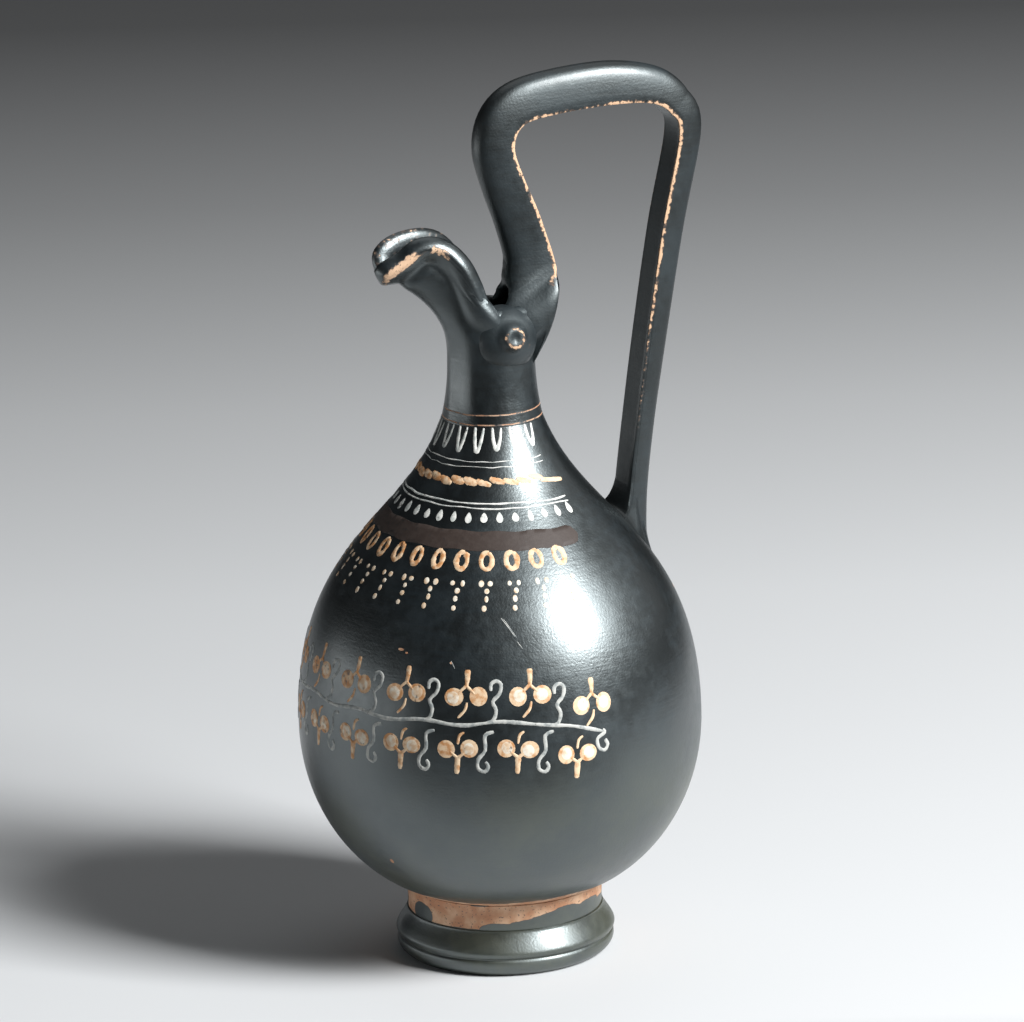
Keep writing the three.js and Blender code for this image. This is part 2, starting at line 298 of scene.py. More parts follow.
under_belly = interpolate_bezier(at(stem_radius + 0.3, body_bottom), at(37, body_bottom + 5.2),
                                 at(belly_radius, belly_height - 20),
                                 at(belly_radius, belly_height), 34)
shoulder = interpolate_bezier(at(belly_radius, belly_height), at(belly_radius, belly_height + 43.8),
                              at(collar_radius + 9.8, collar_height - 27.4),
                              at(collar_radius, collar_height), 60)
body_outline = under_belly + shoulder[1:]


def pushed(outline, distance):
    """An outline moved sideways, away from the axis for a positive distance."""
    moved = []
    for i, point in enumerate(outline):
        along = outline[min(i + 1, len(outline) - 1)] - outline[max(i - 1, 0)]
        moved.append(point + at(along.z, -along.x).normalized() * distance)
    return moved


chips = [
    # turn, height, half width in degrees, half height, of the places where the gloss sprang off
    (33.4, 85.9, 1.1, 0.3), (35.4, 85.3, 0.5, 0.25), (24.4, 31.8, 0.7, 0.6), (50.4, 84, 0.4, 0.3),
    (-96, 62, 1.2, 0.8), (-148, 41, 0.8, 1.1), (160, 88, 1.4, 0.5),
]


def bare_line(place):
    """The gloss is gone in two scraped lines and in the chips, and it ends just above the foot."""
    turn, height = turn_and_height(place)
    wobble = grain(place, 5, 3) - 0.5
    bare = fade(height + 2 * wobble - 1.4 * fade(turn, 60, 110), 19.4, 19)
    worn = 0.78 * fade(grain(place, 1.8, 4), 0.26, 0.5)
    for line in reserved_lines:
        offset = place.math("ABSOLUTE", height - line + 0.5 * wobble, 0)
        bare = bare + fade(offset, 0.26, 0.08) * worn
    whole = spots(turn, height, chips, 1.6 * (grain(place, 0.8, 3) - 0.5), 0.8, 1.1)
    return bare + 1 - whole, 0


body_inside = [p for p in pushed(body_outline, -body_wall)
               if p.z > body_bottom + 5.5 and p.x > body_opening]
body_profile = [
    at(0, body_bottom), *body_outline, at(body_opening, collar_height), *reversed(body_inside),
    at(body_inside[0].x - 2, body_bottom + floor_thickness), at(0, body_bottom + floor_thickness),
]
body = throw("thrown_body", body_profile)
thrown_gloss = fired_clay("thrown_gloss", bare_line)
settle(body, thrown_gloss)
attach(body, "root")
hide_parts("body")


# Neck: a short tube, thrown by itself and luted to the collar of the shoulder.
# The second of the two scraped lines goes round it, just above the joint.
neck_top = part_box("neck")[1].z / MM
neck_radius = 10.5
neck_wall = 3
neck_outline = interpolate_bezier(at(collar_radius, collar_height),
                                  at(10.95, collar_height + 0.3 * (neck_top - collar_height)),
                                  at(neck_radius, neck_top - 6), at(neck_radius, neck_top), 20)
flutes = [
    # turn, half width in degrees, depth, of the shallow flutes that the potter's fingers left
    (-22, 11, 0.2), (-5, 12, -0.15), (14, 12, 0.25), (38, 13, -0.22), (-52, 14, 0.25),
    (-80, 14, -0.2), (64, 14, 0.15),
]


def flute(point, low, high):
    """A point of the neck or mouth moved in or out by the flutes, which fade out at both ends."""
    turn = math.degrees(math.atan2(point.x, -point.y))
    depth = sum(deep * math.exp(-((turn - middle) / half) ** 2) for middle, half, deep in flutes)
    along = min(1, max(0, (point.z - low) / 8)) * min(1, max(0, (high - point.z) / 8))
    return Vector((point.x, point.y, 0)).normalized() * -depth * along


neck_profile = [*neck_outline, *reversed(pushed(neck_outline, -neck_wall)), neck_outline[0]]
neck = throw("thrown_neck", neck_profile)
for point in neck.data.vertices:
    if point.co.xy.length > (neck_radius - 0.5 * neck_wall) * MM:
        point.co += flute(point.co / MM, collar_height + 1, neck_top + 30) * MM
settle(neck, thrown_gloss)
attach(neck, "root")
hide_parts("neck")


# Mouth: a collar of clay cut away behind and drawn up by hand into a beak, with its lips pressed
# together so that the wine leaves in a thin stream. Its lip is rolled, and worn to the clay.
wall_half = 1.5
lip_half = 2.5
heel_half = 1.7
mouth_levels = 36
lip_steps = 4
lip_arcs = 8
thin_rings = 24
spout_tip = (0, 0, -26.8, 22.2)
near_lip = [
    # turn on the neck, x, y and rise above the neck of the middle of the lip
    (10, 1.6, -27.6, 23.4), (26, 2.7, -23.6, 25.6), (40, 3.4, -20.2, 28.1), (54, 4.2, -16.5, 28.6),
    (68, 5.1, -12.9, 27.1), (80, 6.3, -9.7, 23.4), (91, 6.8, -7.3, 18.4), (102, 7, -5.3, 13.6),
    (114, 7.1, -3.2, 10.6), (130, 7.1, 0.9, 9.9), (155, 4.2, 8, 9.8),
]
far_lip = [
    (-10, -1.6, -27.2, 25.8), (-26, -2.2, -25.5, 27.7), (-40, -3.1, -21.6, 28.9),
    (-54, -4.1, -16.2, 29), (-68, -5.1, -11.6, 27.5), (-80, -6.2, -7.5, 23.9),
    (-91, -6.8, -5.1, 19.2), (-102, -7, -3.2, 14.6), (-114, -7.1, -1, 11.4),
    (-130, -7.1, 2.4, 10.2), (-155, -4.2, 8, 9.8),
]
lip_back = (180, 0, 9, 9.8)


def lip_line():
    """The middle of the rolled lip, once round from the tip of the spout past the near side, and
    the turn on the neck under each of its points."""
    far = [(turn + 360, x, y, rise) for turn, x, y, rise in reversed(far_lip)]
    loop = [spout_tip, *near_lip, lip_back, *far]
    tail = [(turn - 360, x, y, rise) for turn, x, y, rise in far[-2:]]
    head = [(turn + 360, x, y, rise) for turn, x, y, rise in (spout_tip, near_lip[0])]
    loop = [*tail, *loop, *head]
    middle = smooth([(x, y, neck_top + rise) for _, x, y, rise in loop], lip_steps)
    turns = smooth([(turn, 0, 0) for turn, _, _, _ in loop], lip_steps)
    kept = slice(2 * lip_steps, (len(loop) - 2) * lip_steps)
    return middle[kept], turns[kept]


def mouth_middle(lip, turns):
    """Rings half way through the wall, from the neck up to the lip, closer together near the lip."""
    walls = []
    for end, turn in zip(lip, turns):
        turn = math.radians(turn.x)
        forward = max(0, math.cos(turn)) ** 2
        radius = neck_radius - wall_half
        start = Vector((radius * math.sin(turn), -radius * math.cos(turn), neck_top))
        rise = end.z - start.z
        upright = Vector((0.1 * math.sin(turn), 0, 1))
        lean = Vector((0, -1, 0.3)).lerp(upright, 1 - forward).normalized()
        walls.append(interpolate_bezier(start, start + Vector((0, 0, 0.5 * rise)),
                                        end - lean * 0.35 * rise, end, 6 * mouth_levels + 1))
    picks = [round(6 * mouth_levels * (1 - (1 - i / mouth_levels) ** 1.4))
             for i in range(mouth_levels + 1)]
    return [[wall[pick] for wall in walls] for pick in picks]


def face_normals(rings):
    """The way out of the wall at each point of its rings."""
    normals = []
    for i, ring in enumerate(rings):
        below, above = rings[max(i - 1, 0)], rings[min(i + 1, len(rings) - 1)]
        row = []
        for j in range(len(ring)):
            along = ring[(j + 1) % len(ring)] - ring[j - 1]
            out = along.cross(above[j] - below[j])
            if i == 0:
                out.z = 0
            row.append(out.normalized())
        normals.append(row)
    return normals


def fade_between(value, low, high):
    """0 below low, 1 above high and smooth between them."""
    share = min(1, max(0, (value - low) / (high - low)))
    return share * share * (3 - 2 * share)


def draw_up(name, rings, closed=False, wear=None):
    """A straight tube is extruded ring by ring, and each of its points is pulled to its place.
    Its ends are capped, or it is closed on itself. wear(ring, side) says how rubbed a point is."""
    sides = len(rings[0])
    bpy.ops.object.select_all(action="DESELECT")
    bpy.ops.mesh.primitive_circle_add(vertices=sides, radius=1,
                                      fill_type="NOTHING" if closed else "NGON")
    tube = bpy.context.object
    tube.name = name
    bpy.ops.object.mode_set(mode="EDIT")
    for _ in rings[1:]:
        bpy.ops.mesh.extrude_region_move(TRANSFORM_OT_translate={"value": (0, 0, 1)})
    if closed:
        bpy.ops.mesh.select_all(action="DESELECT")
        bpy.ops.mesh.select_non_manifold()
        bpy.ops.mesh.bridge_edge_loops()
    bpy.ops.object.mode_set(mode="OBJECT")
    rubbed = tube.data.attributes.new("wear", "FLOAT", "POINT")
    for point in tube.data.vertices:
        turn = math.atan2(point.co.y, point.co.x) - math.pi / 2
        ring, side = round(point.co.z), round(turn * sides / math.tau) % sides
        rubbed.data[point.index].value = wear(ring, side) if wear else 0
        point.co = rings[ring][side] * MM
    bpy.ops.object.mode_set(mode="EDIT")
    bpy.ops.mesh.select_all(action="SELECT")
    bpy.ops.mesh.normals_make_consistent(inside=False)
    bpy.ops.object.mode_set(mode="OBJECT")
    return tube


def bare_edge(place):
    """Gloss rubbed off the edges in patches, after the wear painted on the piece."""
    rubbed = place.feed("Attribute", {"attribute_name": "wear"}, {}, 2)
    return fade(rubbed + 0.9 * grain(place, 1.1, 5) + 0.5 * grain(place, 7, 3), 1.45, 1.78), 0.25


lip, lip_turns = lip_line()
mouth_sides = len(lip)
middle = mouth_middle(lip, lip_turns)
normals = face_normals(middle)
outside, inside, from_lip = [], [], []
for i, ring in enumerate(middle):
    outer, inner, gaps = [], [], []
    for j, point in enumerate(ring):
        gap = min((point - spot).length for spot in lip)
        beak = fade_between(abs(lip_turns[j].x - 180), 55, 95)
        half = heel_half + beak * (lip_half - heel_half)
        roll = (half - wall_half) * math.exp(-(gap / 2.4) ** 2)
        groove = 0.5 * beak * math.exp(-((gap - 4.3) / 1.4) ** 2)
        outer_point = point + normals[i][j] * (wall_half + roll - groove)
        outer.append(outer_point + flute(outer_point, neck_top - 30, neck_top + 24))
        inner.append(point - normals[i][j] * (wall_half + 0.25 * roll))
        gaps.append(gap)
    outside.append(outer)
    inside.append(inner)
    from_lip.append(gaps)
over_lip = []
for share in range(1, lip_arcs):
    turn = math.pi * share / lip_arcs
    ring = []
    for j, point in enumerate(middle[-1]):
        along = (lip[(j + 1) % mouth_sides] - lip[j - 1]).normalized()
        up = normals[-1][j].cross(along)
        up *= math.copysign(1, up.dot(point - middle[-3][j])) / up.length
        reach = outside[-1][j] if 2 * share < lip_arcs else inside[-1][j]
        half = (outside[-1][j] - inside[-1][j]).length / 2
        crest = half * math.sin(turn) * (1 - 0.3 * math.cos(turn))
        ring.append(point + (reach - point) * abs(math.cos(turn)) + up * crest)
    over_lip.append(ring)


def lip_wear(ring, side):
    """The near lip is rubbed most, from the tip over the outer half of its roll. On the far lip the
    gloss is rubbed thin and brown over the inner half and down into the spout."""
    turn = (lip_turns[side].x + 180) % 360 - 180
    if ring <= mouth_levels:
        across = math.exp(-((from_lip[ring][side] - 0.4) / 1.5) ** 2)
    else:
        across = math.exp(-((ring - mouth_levels) / 3.2) ** 2)
    near = max(math.exp(-((turn - 22) / 30) ** 2), 0.85 * math.exp(-((turn - 60) / 20) ** 2))
    if -100 < turn < 4 and ring > mouth_levels:
        deep = (ring - mouth_levels) / thin_rings
        return 0.78 * fade_between(turn, -100, -70) * fade_between(1 - deep, 0, 0.5)
    return 1.3 * across * max(near, 0.3)


mouth = draw_up("drawn_mouth", [*outside, *over_lip, *reversed(inside)], closed=True, wear=lip_wear)
settle(mouth, fired_clay("drawn_gloss", bare_edge))
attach(mouth, "root")
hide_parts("mouth")


# Handle: one strap of clay pulled to a D section, set on the back of the mouth, bent up in an S and
# over, and carried down straight to the shoulder. The gloss is rubbed off both of its sharp edges.
strap_width = 8.6
strap_depth = 7.2
rise_depth = 10
loop_nip = 5.9
loop_back = 49
arch_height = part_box("handle")[1].z / MM - rise_depth
strap_stations = [
    # reach of the flat face, height, width, depth, how round the flat face is from 0 to 1, how deep
    # the back is hollowed between the two ridges that run on into the lips, and how rubbed it is
    (6.4, 142.5, 12, 2.5, 1, 0, 0), (8, 145.2, 13.5, 3.5, 1, 0, 0), (9.8, 148.8, 15.4, 6, 1, 0, 0),
    (11.6, 152.3, 16.6, 9, 1, 0, 0), (13.2, 156, 16.8, 12, 1, 1, 0),
    (14.2, 159.2, 16.8, 14.3, 1, 4, 0), (14.7, 161.4, 16.3, 16.2, 1, 8, 0),
    (14.9, 163, 15.3, 17.4, 1, 10, 0.3), (15.1, 164.4, 13.6, 18.1, 0.85, 10, 0.8),
    (15.3, 165.6, 11.8, 18.1, 0.65, 9.5, 1), (15.5, 166.5, 10.7, 17.7, 0.4, 8, 1.02),
    (15.6, 167.4, 10.1, 15.7, 0.2, 4.5, 1.06), (15.5, 168.4, 9.6, 14.6, 0.1, 2.5, 1.06),
    (15.3, 169.6, 9.2, 13.3, 0, 1, 1.06), (14.9, 171.3, 8.9, 11.4, 0, 0.2, 1.06),
    (14.1, 174, strap_width, rise_depth + 0.4, 0, 0, 1.08),
    (11.6, 181.5, strap_width, rise_depth, 0, 0, 1.08),
    (loop_nip + 2, 190.5, strap_width, 9.4, 0, 0, 1.04),
    (loop_nip, 197.5, strap_width, 9, 0, 0, 1.04), (loop_nip + 2.4, 202.4, strap_width, 9.5, 0, 0, 1),
    (loop_nip + 10, arch_height - 0.6, strap_width, rise_depth, 0, 0, 0.94),
    (31.1, arch_height, strap_width, rise_depth, 0, 0, 0.92),
    (41.8, arch_height - 0.9, strap_width, 8.8, 0, 0, 0.98),
    (46.9, arch_height - 3.9, strap_width, 7.7, 0, 0, 1.04),
    (loop_back, 195, strap_width, strap_depth, 0, 0, 1.08), (44.2, 173.6, strap_width, 7, 0, 0, 1.06),
    (39.6, 148, strap_width, 6.6, 0, 0, 0.94), (36, 125, strap_width, 6, 0, 0, 0.7),
    (33.6, 107.4, strap_width, 6.2, 0, 0, 0), (32.4, 91.5, strap_width, strap_depth, 0, 0, 0),
]
strap_steps = 8
back_points = 21
root_top = 173
root_length = 14
root_lean = (math.radians(17), math.radians(44))
root_rings = 17 * strap_steps
strut_stations = 5
arris = [(0.45, 0.0), (0.12, 0.12), (0.0, 0.45), (0.04, 1.0)]


def strap_section(width, depth, roundness, hollow):
    """Once round the section as places across and out from the flat face. It goes over the back, a
    blunt wedge with a rounded crest, and returns along the flat face."""
    wedge = smooth([at(1, 0.16), at(0.95, 0.37), at(0.85, 0.62), at(0.69, 0.83), at(0.42, 0.96),
                    at(0, 1)], 2)
    boxy = min(1, hollow / 3)
    back = []
    for i in range(back_points):
        turn = math.pi * (0.08 + 0.84 * i / (back_points - 1))
        place = wedge[min(i, back_points - 1 - i)]
        power = 1 - 0.45 * boxy
        oval = Vector((abs(math.cos(turn)) ** power, 0, math.sin(turn) ** power))
        place = place.lerp(oval, max(boxy, roundness))
        across = math.copysign(place.x, math.cos(turn)) * width / 2
        middle = max(0, 1 - (across / (0.36 * width)) ** 2)
        back.append((across, place.z * depth - hollow * middle))
    blunt = max(1, 0.24 * depth * roundness)
    near = [(width / 2 - blunt * inward, blunt * out) for inward, out in arris]
    far = [(-across, out) for across, out in reversed(near)]
    flat = [(share * (width / 2 - 1 - 0.6 * blunt), 0) for share in (-1, -0.5, 0, 0.5, 1)]
    ring = [*near, *back, *far, *flat]
    bulge = 0.15 * width * roundness
    return [(across, out - bulge * max(0, 1 - (2 * across / width) ** 2) * max(0, 1 - out / depth))
            for across, out in ring]


def strap_rings():
    """The strap's sections, from the root to the shoulder. At the root they turn down towards the
    mouth that it grows out of, and what would lie inside the neck is pushed out into its wall."""
    line = smooth([at(station[0], station[1]) for station in strap_stations], strap_steps)
    gauge = smooth([station[2:5] for station in strap_stations], strap_steps)
    hollows = smooth([at(station[5], 0) for station in strap_stations], strap_steps)
    rings = []
    for i, (spot, size) in enumerate(zip(line, gauge)):
        along = (line[min(i + 1, len(line) - 1)] - line[max(i - 1, 0)]).normalized()
        square = Vector((0, -along.z, along.x))
        low = min(1, max(0, (root_top - spot.z) / root_length)) if i < root_rings else 0
        lean = root_lean[0] + (root_lean[1] - root_lean[0]) * low
        leaning = Vector((0, -math.cos(lean), -math.sin(lean)))
        way = square.lerp(leaning, min(1, 4 * low)).normalized()
        ring = []
        roundness, hollow = min(1, max(0, size.z)), max(0, hollows[i].x)
        for across, out in strap_section(size.x, size.y, roundness, hollow):
            point = Vector((across, spot.x, spot.z)) + way * out
            reach = math.hypot(point.x, point.y)
            if reach < neck_radius - 1:
                inside = fade_between(neck_top + 9 - point.z, 0, 6)
                point.xy = point.xy * (1 + inside * ((neck_radius - 1) / reach - 1))
            ring.append(point)
        rings.append(ring)
    return rings


def strap_wear(ring, side):
    """Both arrises are rubbed, the near one more."""
    station, share = divmod(ring / strap_steps, 1)
    here, there = (strap_stations[min(int(station) + i, len(strap_stations) - 1)][6] for i in (0, 1))
    across = [0.78, 1, 1, 0.8]
    near = across[side] if side < 4 else 0
    far = 0.88 * across[back_points + 7 - side] if 3 < side - back_points < 8 else 0
    return (here + (there - here) * share) * max(near, far)


handle_rings = strap_rings()
handle = draw_up("pulled_handle", handle_rings, wear=strap_wear)
pulled_gloss = fired_clay("pulled_gloss", bare_edge, dull=0.1, ior=1.85)
settle(handle, pulled_gloss)
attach(handle, "root")
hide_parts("handle")


# Wad: soft clay pressed round the lower root of the handle and smoothed out on the shoulder with a
# wet thumb, so that the strut seems to grow from the belly.
wad_rise_front = 11
wad_rise_back = 4.5
wad_spread_front = 7.5
wad_spread_side = 8
wad_spread_back = 4
wad_rings = 14


def outline_radius(height):
    """The pot's radius at a height, from the belly's bottom to the top of the neck."""
    line = body_outline + neck_outline[1:]
    i = next((i for i, p in enumerate(line) if p.z > height), len(line) - 1)
    share = (height - line[i - 1].z) / (line[i].z - line[i - 1].z)
    return line[i - 1].x + share * (line[i].x - line[i - 1].x)


def skirt():
    """Rings from the strap out to the shoulder, hollow in profile all the way round."""
    lines = list(zip(*handle_rings[strap_steps * (len(strap_stations) - strut_stations):]))
    seats = [next(i for i, p in enumerate(line) if p.xy.length < outline_radius(p.z))
             for line in lines]
    corners = [line[seat] for line, seat in zip(lines, seats)]
    middle = sum(corners, Vector()) / len(corners)
    walls = []
    for line, seat, corner in zip(lines, seats, corners):
        out = (corner - middle).normalized()
        front = fade_between(middle.y - corner.y, -2.5, 2)
        side = min(1, abs(corner.x) / 4)
        rise = wad_rise_back + front * (wad_rise_front - wad_rise_back)
        spread = wad_spread_back + front * (wad_spread_front - wad_spread_back)
        spread += side * (wad_spread_side - spread)
        start = next(p for p in reversed(line[:seat]) if (p - corner).length > rise)
        foot_point = corner + out * spread
        foot_point.xy = foot_point.xy.normalized() * (outline_radius(foot_point.z) - 0.15)
        start = start - out * 0.1
        walls.append(interpolate_bezier(start, start.lerp(corner, 0.5),
                                        foot_point.lerp(corner, 0.55), foot_point, wad_rings))
    return [list(ring) for ring in zip(*walls)]


wad = draw_up("root_wad", skirt())
settle(wad, pulled_gloss)
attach(wad, "root")
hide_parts("handle_wad")


# Rotelles: a low boss of clay with a dented knob, pressed on each side of the mouth beside the root
# of the handle. The knob stands out, so the gloss is rubbed off its rim.
boss_radius = 8.2
boss_foot = 6
boss_rise = 5.8
boss_middle = Vector((0, 0.8, neck_top + 3.8))
knob_middle = boss_middle + Vector((0, -0.1, 2))
knob_radius = 3.1
knob_rise = 1.5
boss_rings = 24
boss_sides = 48


def make_rotelle(name, side):
    rings = [[], []]
    for i in range(boss_rings):
        radius = max(0.1, boss_radius * math.sin(0.5 * math.pi * (1 - i / (boss_rings - 1))))
        ring = []
        for j in range(boss_sides):
            turn = math.tau * j / boss_sides
            spot = boss_middle + Vector((0, radius * math.cos(turn), radius * math.sin(turn)))
            from_knob = (spot - knob_middle).length
            knob = knob_rise / (1 + math.exp((from_knob - knob_radius) * 3.5))
            knob -= 0.7 * math.exp(-(from_knob / 1.3) ** 2)
            dome = boss_rise * max(0, 1 - (radius / boss_radius) ** 2.5) ** 0.62
            spot.x = side * (boss_foot + dome + knob)
            ring.append(spot)
        rings.append(ring)
    for i, deep in enumerate((2.5, 1)):
        rings[i] = [spot - Vector((side * deep, 0, 0)) for spot in rings[2]]

    def wear(ring, point):
        spot = rings[ring][point]
        from_knob = math.hypot(spot.y - knob_middle.y, spot.z - knob_middle.z)
        streak = math.hypot(spot.y - knob_middle.y - 4.2, (spot.z - knob_middle.z + 2.4) / 2)
        return max(1.05 - 0.6 * abs(from_knob - 2.2), 1 - 0.6 * streak)

    return draw_up(name, rings, wear=wear)


for name, side, node in (("rotelle_near", 1, "rotelle_right"), ("rotelle_far", -1, "rotelle_left")):
    rotelle = make_rotelle(name, side)
    settle(rotelle, pulled_gloss)
    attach(rotelle, "root")
    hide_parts(node)


# Tongues: narrow loops of white slip that hang from the lower scraped line, each drawn with one
# stroke of a fine brush. Slip lies a tenth of a millimetre thick on the gloss.
slip_thick = 0.12
brush_profile = [(-1, -0.4), (-0.6, 0.75), (0, 1), (0.6, 0.75), (1, -0.4), (0, -0.6)]
hand = random.Random(7)


def surface(turn, height):
    """A point of the pot's outer face and the way out of it."""
    around = Vector((math.sin(math.radians(turn)), -math.cos(math.radians(turn)), 0))
    radius = outline_radius(height)
    slope = (outline_radius(height + 0.3) - outline_radius(height - 0.3)) / 0.6
    normal = (around - Vector((0, 0, slope))).normalized()
    return around * radius + Vector((0, 0, height)), normal


def stroke(path, width, steps=4, thick=slip_thick):
    """One stroke of slip along (turn, height) places. width is a number or one number per place."""
    widths = width if isinstance(width, list) else [width] * len(path)
    line = smooth([at(turn, height) for turn, height in path], steps)
    gauge = smooth([at(w, 0) for w in widths], steps)
    spots = [surface(p.x, p.z) for p in line]
    rings = []
    for i, (spot, normal) in enumerate(spots):
        along = spots[min(i + 1, len(spots) - 1)][0] - spots[max(i - 1, 0)][0]
        across = normal.cross(along).normalized()
        half = gauge[i].x * (0.35 if i in (0, len(spots) - 1) else 0.5) * hand.uniform(0.88, 1.1)
        rings.append([spot + across * half * a + normal * thick * b for a, b in brush_profile])
    return draw_up("stroke", rings)


def gather(name, strokes, material):
    """Joins the strokes of one pattern into one piece of paint."""
    bpy.ops.object.select_all(action="DESELECT")
    for part in strokes:
        part.select_set(True)
    bpy.context.view_layer.objects.active = strokes[0]
    bpy.ops.object.join()
    piece = bpy.context.object
    piece.name = name
    settle(piece, material)
    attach(piece, "root")
    return piece


def slip(name, colour, second, roughness=0.62):
    """Matt slip of two mixed tones, rubbed thin in places. Towards negative turns, away from the key
    light, it is rubbed more and takes more of its second tone: partly wear and partly painted shade.
    """
    material, shader, place = paint_tree(name)
    turn, height = turn_and_height(place)
    # The turn terms paint the slip darker on the side away from the key light: partly wear, partly
    # painted shade.
    rubbed = fade(grain(place, 1.1, 5) + 0.22 * grain(place, 8, 2) - 0.0014 * turn, 0.66, 0.82)
    tone = blend(fade(grain(place, 1.5, 3) - 0.0016 * turn, 0.3, 0.62), colour, second)
    bump = place.feed("Bump", {}, {"Strength": 0.25, "Distance": 0.1 * MM,
                                   "Height": grain(place, 0.8, 4)})
    plug(shader, Base_Color=blend(rubbed * 0.85, tone, (0.03, 0.03, 0.03, 1)),
         Roughness=roughness - 0.25 * rubbed, Normal=bump)
    return material


white_slip = slip("white_slip", (0.84, 0.84, 0.8, 1), (0.5, 0.54, 0.52, 1))
grey_slip = slip("grey_slip", (0.56, 0.57, 0.54, 1), (0.26, 0.29, 0.29, 1))
cream_slip = slip("cream_slip", (0.88, 0.82, 0.7, 1), (0.72, 0.5, 0.31, 1))
orange_slip = slip("orange_slip", (0.84, 0.63, 0.42, 1), (0.58, 0.27, 0.1, 1))

tongues = []
for i in range(-5, 7):
    turn = 19.5 * i - 9
    low = 127.3 + hand.uniform(-0.5, 0.5)
    tongues.append(stroke([(turn - 4.2, 132.4), (turn - 3.6, 129.8), (turn - 2, low + 0.5),
                           (turn - 0.4, low), (turn + 1.4, low + 0.7), (turn + 3.6, 129.8),
                           (turn + 5.6, 132.3)], [0.75, 0.95, 1.05, 1.25, 1.05, 0.85, 0.6]))
gather("paint_tongues", tongues, white_slip)


# Fillet: a wavy string of orange slip round the throat, laid as one bead after another, with a plain
# end. Two fine lines are scratched above it, and two white lines are painted below it.
bead_turns = 10.4
beads = []
for i in range(-12, 10):
    turn = bead_turns * i
    height = 120.75 + 0.25 * math.sin(2.3 * i)
    full = 2.3 if turn < 50 else 1.7
    beads.append(stroke([(turn - 0.6, height + 0.5), (turn + 3, height + 0.1),
                         (turn + 7, height - 0.15), (turn + 10.8, height - 0.5)],
                        [1.2, full, 0.95 * full, 1.2]))
beads.append(stroke([(bead_turns * 10 - 2, 120.2), (112, 119.6), (122, 119.1)], [1.5, 1.35, 1.3]))
beads.append(stroke([(bead_turns * -12, 120.2), (-126, 119.6)], [1.4, 1.2]))
gather("paint_fillet", beads, orange_slip)

lines = []
for height, width in ((116.55, 0.5), (115.6, 0.45)):
    path = [(turn, height - 0.00006 * turn * turn + hand.uniform(-0.12, 0.12))
            for turn in range(-116, 117, 8)]
    lines.append(stroke(path, [width * hand.uniform(0.7, 1.25) for _ in path]))
for height in (125, 123.75):
    path = [(turn, height + hand.uniform(-0.15, 0.15)) for turn in range(-112, 113, 8)]
    lines.append(stroke(path, [0.26 * hand.uniform(0.5, 1.3) for _ in path], thick=0.05))
gather("paint_lines", lines, white_slip)


# Drops: a row of white drops under the lines, each one touch of a full brush, and far below them
# clusters of small dots that taper down like a bunch of grapes.
def touch():
    """A low drop of slip with a few dozen faces, a unit across."""
    bpy.ops.object.select_all(action="DESELECT")
    bpy.ops.mesh.primitive_circle_add(vertices=16, radius=0.5, fill_type="NGON")
    drop = bpy.context.object
    bpy.ops.object.mode_set(mode="EDIT")
    bpy.ops.mesh.extrude_region_move(TRANSFORM_OT_translate={"value": (0, 0, 0.6)})
    bpy.ops.mesh.inset(thickness=0.16, depth=0.3)
    bpy.ops.mesh.inset(thickness=0.16, depth=0.1)
    bpy.ops.mesh.select_all(action="SELECT")
    bpy.ops.mesh.normals_make_consistent(inside=False)
    bpy.ops.object.mode_set(mode="OBJECT")
    return drop


first_touch = touch()


def dab(turn, height, width, length, point=0, lean=0, rise=0.0):
    """A copy of the drop, laid on the pot. point draws its upper end out, and lean slants it."""
    drop = first_touch.copy()
    drop.data = first_touch.data.copy()
    bpy.context.scene.collection.objects.link(drop)
    for corner in drop.data.vertices:
        x, y, z = corner.co
        along = (y + point * max(0, y) ** 2) * length
        across = x * width * (1 - 0.8 * point * max(0, y)) + lean * along
        radius = outline_radius(height)
        slope = math.hypot(1, (outline_radius(height + 1) - outline_radius(height - 1)) / 2)
        spot, normal = surface(turn + math.degrees(across / radius), height + along / slope)
        corner.co = (spot + normal * slip_thick * (1.2 * z - 0.4 + rise)) * MM
    return drop


drops = [dab(9.1 * i - 5, 113.3 + hand.uniform(-0.2, 0.2), 1.55 * hand.uniform(0.85, 1.15),
             2.4 * hand.uniform(0.85, 1.15), point=0.7) for i in range(-11, 14)]
gather("paint_drops", drops, white_slip)


# Band: a broad stripe of matt purplish-brown slip round the shoulder, rounded at both ends, from
# which the row of eggs hangs.
band_low, band_high = 107.3, 111.2
band_end = 109


def band_rings():
    rings = []
    for turn in range(-band_end, band_end + 1, 2):
        rounding = math.sqrt(max(0.02, 1 - max(0, (abs(turn) - band_end + 5) / 5) ** 2))
        middle = 0.5 * (band_low + band_high) - 0.00008 * turn * turn + 0.12 * math.sin(turn * 0.31)
        half = 0.5 * (band_high - band_low) * rounding
        ring = []
        for up, out in [(-1, -0.4), (-0.96, 0.5), (-0.5, 0.62), (0, 0.62), (0.5, 0.62), (0.96, 0.5),
                        (1, -0.4), (0, -0.6)]:
            spot, normal = surface(turn, middle + half * up * hand.uniform(0.985, 1.015))
            ring.append(spot + normal * out * slip_thick)
        rings.append(ring)
    return rings


brown_slip = slip("brown_slip", (0.04, 0.027, 0.022, 1), (0.05, 0.036, 0.03, 1), 0.6)
gather("paint_band", [draw_up("stroke", band_rings())], brown_slip)


